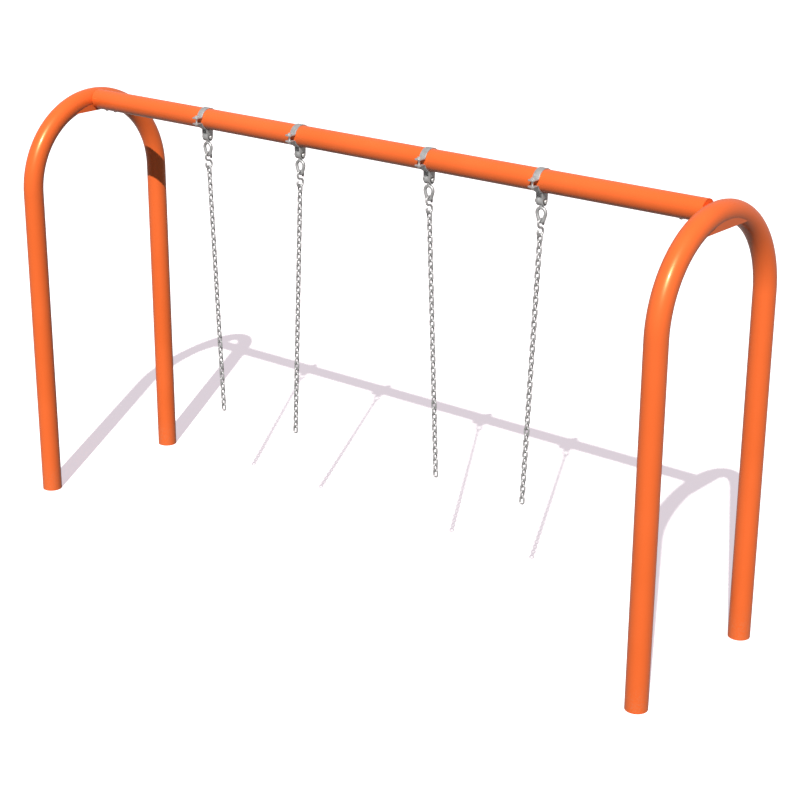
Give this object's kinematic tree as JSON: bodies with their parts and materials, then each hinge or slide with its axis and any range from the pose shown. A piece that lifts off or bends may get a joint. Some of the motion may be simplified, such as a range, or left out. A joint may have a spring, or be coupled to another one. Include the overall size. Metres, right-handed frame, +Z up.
{
  "type": "swing set",
  "caption": "Playground swing frame: bent-tube arches joined by a straight top rail, with galvanised clamp-on pivot hangers and bare link chains that take the seats.",
  "frame": {"origin": "on the ground, under the middle of the top rail", "axes": "+X along the rail towards the right arch, +Y across the frame towards the back legs, +Z up"},
  "size_m": [4.787, 1.207, 2.6545],
  "materials": {
    "frame_paint": "glossy orange powder coat",
    "galvanised": "hot-dip galvanised",
    "bolt_steel": "bright zinc plate",
    "bronze": "oiled sintered bronze"
  },
  "bodies": {
    "frame": {"left_arch": "frame_paint", "right_arch": "frame_paint", "top_rail": "frame_paint", "left_spigot": "frame_paint", "right_spigot": "frame_paint", "rail_screws": "bolt_steel", "rail_nuts": "bolt_steel", "clamp_bolts": "bolt_steel", "clamp_washers": "bolt_steel", "clamp_nuts": "bolt_steel", "pivot_bolts": "bolt_steel", "pivot_washers": "bolt_steel", "pivot_nuts": "bolt_steel", "clamp_upper_1": "galvanised", "clamp_lower_1": "galvanised", "clamp_upper_2": "galvanised", "clamp_lower_2": "galvanised", "clamp_upper_3": "galvanised", "clamp_lower_3": "galvanised", "clamp_upper_4": "galvanised", "clamp_lower_4": "galvanised"},
    "pendulum_1": {"pendulum_1": "galvanised", "pivot_bush_1": "bronze"},
    "s_hook_1": {"s_hook_1": "galvanised"},
    "chain_upper_1": {"chain_upper_1": "galvanised"},
    "chain_middle_1": {"chain_middle_1": "galvanised"},
    "chain_lower_1": {"chain_lower_1": "galvanised"},
    "end_link_1": {"end_link_1": "galvanised"},
    "pendulum_2": {"pendulum_2": "galvanised", "pivot_bush_2": "bronze"},
    "s_hook_2": {"s_hook_2": "galvanised"},
    "chain_upper_2": {"chain_upper_2": "galvanised"},
    "chain_middle_2": {"chain_middle_2": "galvanised"},
    "chain_lower_2": {"chain_lower_2": "galvanised"},
    "end_link_2": {"end_link_2": "galvanised"},
    "pendulum_3": {"pendulum_3": "galvanised", "pivot_bush_3": "bronze"},
    "s_hook_3": {"s_hook_3": "galvanised"},
    "chain_upper_3": {"chain_upper_3": "galvanised"},
    "chain_middle_3": {"chain_middle_3": "galvanised"},
    "chain_lower_3": {"chain_lower_3": "galvanised"},
    "end_link_3": {"end_link_3": "galvanised"},
    "pendulum_4": {"pendulum_4": "galvanised", "pivot_bush_4": "bronze"},
    "s_hook_4": {"s_hook_4": "galvanised"},
    "chain_upper_4": {"chain_upper_4": "galvanised"},
    "chain_middle_4": {"chain_middle_4": "galvanised"},
    "chain_lower_4": {"chain_lower_4": "galvanised"},
    "end_link_4": {"end_link_4": "galvanised"}
  },
  "joints": [
    {"name": "swing_1", "type": "hinge", "parent": "frame", "child": "pendulum_1", "pos_m": [-1.279, 0, 2.47], "axis": [1, 0, 0], "range_deg": [-75, 75]},
    {"name": "hook_rock_1", "type": "hinge", "parent": "pendulum_1", "child": "s_hook_1", "pos_m": [-1.27823, 0, 2.35502], "axis": [0.9991, 0, 0.043], "range_deg": [-45, 45]},
    {"name": "chain_sway_1", "type": "hinge", "parent": "s_hook_1", "child": "chain_upper_1", "pos_m": [-1.27476, 0, 2.27439], "axis": [0, 1, 0], "range_deg": [-20, 20]},
    {"name": "chain_fold_1", "type": "hinge", "parent": "chain_upper_1", "child": "chain_middle_1", "pos_m": [-1.25189, 0, 1.74263], "axis": [0.9991, 0, 0.043], "range_deg": [-80, 80]},
    {"name": "chain_side_fold_1", "type": "hinge", "parent": "chain_middle_1", "child": "chain_lower_1", "pos_m": [-1.22894, 0, 1.20913], "axis": [0, 1, 0], "range_deg": [-45, 45]},
    {"name": "end_link_turn_1", "type": "hinge", "parent": "chain_lower_1", "child": "end_link_1", "pos_m": [-1.20753, 0, 0.71119], "axis": [0, 1, 0], "range_deg": [-60, 60]},
    {"name": "swing_2", "type": "hinge", "parent": "frame", "child": "pendulum_2", "pos_m": [-0.505, 0, 2.47], "axis": [1, 0, 0], "range_deg": [-75, 75]},
    {"name": "hook_rock_2", "type": "hinge", "parent": "pendulum_2", "child": "s_hook_2", "pos_m": [-0.50577, 0, 2.35502], "axis": [0.9991, 0, -0.043], "range_deg": [-45, 45]},
    {"name": "chain_sway_2", "type": "hinge", "parent": "s_hook_2", "child": "chain_upper_2", "pos_m": [-0.50924, 0, 2.27439], "axis": [0, 1, 0], "range_deg": [-20, 20]},
    {"name": "chain_fold_2", "type": "hinge", "parent": "chain_upper_2", "child": "chain_middle_2", "pos_m": [-0.53211, 0, 1.74263], "axis": [0.9991, 0, -0.043], "range_deg": [-80, 80]},
    {"name": "chain_side_fold_2", "type": "hinge", "parent": "chain_middle_2", "child": "chain_lower_2", "pos_m": [-0.55505, 0, 1.20913], "axis": [0, 1, 0], "range_deg": [-45, 45]},
    {"name": "end_link_turn_2", "type": "hinge", "parent": "chain_lower_2", "child": "end_link_2", "pos_m": [-0.57647, 0, 0.71119], "axis": [0, 1, 0], "range_deg": [-60, 60]},
    {"name": "swing_3", "type": "hinge", "parent": "frame", "child": "pendulum_3", "pos_m": [0.475, 0, 2.47], "axis": [1, 0, 0], "range_deg": [-75, 75]},
    {"name": "hook_rock_3", "type": "hinge", "parent": "pendulum_3", "child": "s_hook_3", "pos_m": [0.47577, 0, 2.35502], "axis": [0.9991, 0, 0.043], "range_deg": [-45, 45]},
    {"name": "chain_sway_3", "type": "hinge", "parent": "s_hook_3", "child": "chain_upper_3", "pos_m": [0.47924, 0, 2.27439], "axis": [0, 1, 0], "range_deg": [-20, 20]},
    {"name": "chain_fold_3", "type": "hinge", "parent": "chain_upper_3", "child": "chain_middle_3", "pos_m": [0.50211, 0, 1.74263], "axis": [0.9991, 0, 0.043], "range_deg": [-80, 80]},
    {"name": "chain_side_fold_3", "type": "hinge", "parent": "chain_middle_3", "child": "chain_lower_3", "pos_m": [0.52506, 0, 1.20913], "axis": [0, 1, 0], "range_deg": [-45, 45]},
    {"name": "end_link_turn_3", "type": "hinge", "parent": "chain_lower_3", "child": "end_link_3", "pos_m": [0.54647, 0, 0.71119], "axis": [0, 1, 0], "range_deg": [-60, 60]},
    {"name": "swing_4", "type": "hinge", "parent": "frame", "child": "pendulum_4", "pos_m": [1.249, 0, 2.47], "axis": [1, 0, 0], "range_deg": [-75, 75]},
    {"name": "hook_rock_4", "type": "hinge", "parent": "pendulum_4", "child": "s_hook_4", "pos_m": [1.24823, 0, 2.35502], "axis": [0.9991, 0, -0.043], "range_deg": [-45, 45]},
    {"name": "chain_sway_4", "type": "hinge", "parent": "s_hook_4", "child": "chain_upper_4", "pos_m": [1.24476, 0, 2.27439], "axis": [0, 1, 0], "range_deg": [-20, 20]},
    {"name": "chain_fold_4", "type": "hinge", "parent": "chain_upper_4", "child": "chain_middle_4", "pos_m": [1.22189, 0, 1.74263], "axis": [0.9991, 0, -0.043], "range_deg": [-80, 80]},
    {"name": "chain_side_fold_4", "type": "hinge", "parent": "chain_middle_4", "child": "chain_lower_4", "pos_m": [1.19894, 0, 1.20913], "axis": [0, 1, 0], "range_deg": [-45, 45]},
    {"name": "end_link_turn_4", "type": "hinge", "parent": "chain_lower_4", "child": "end_link_4", "pos_m": [1.17753, 0, 0.71119], "axis": [0, 1, 0], "range_deg": [-60, 60]}
  ]
}
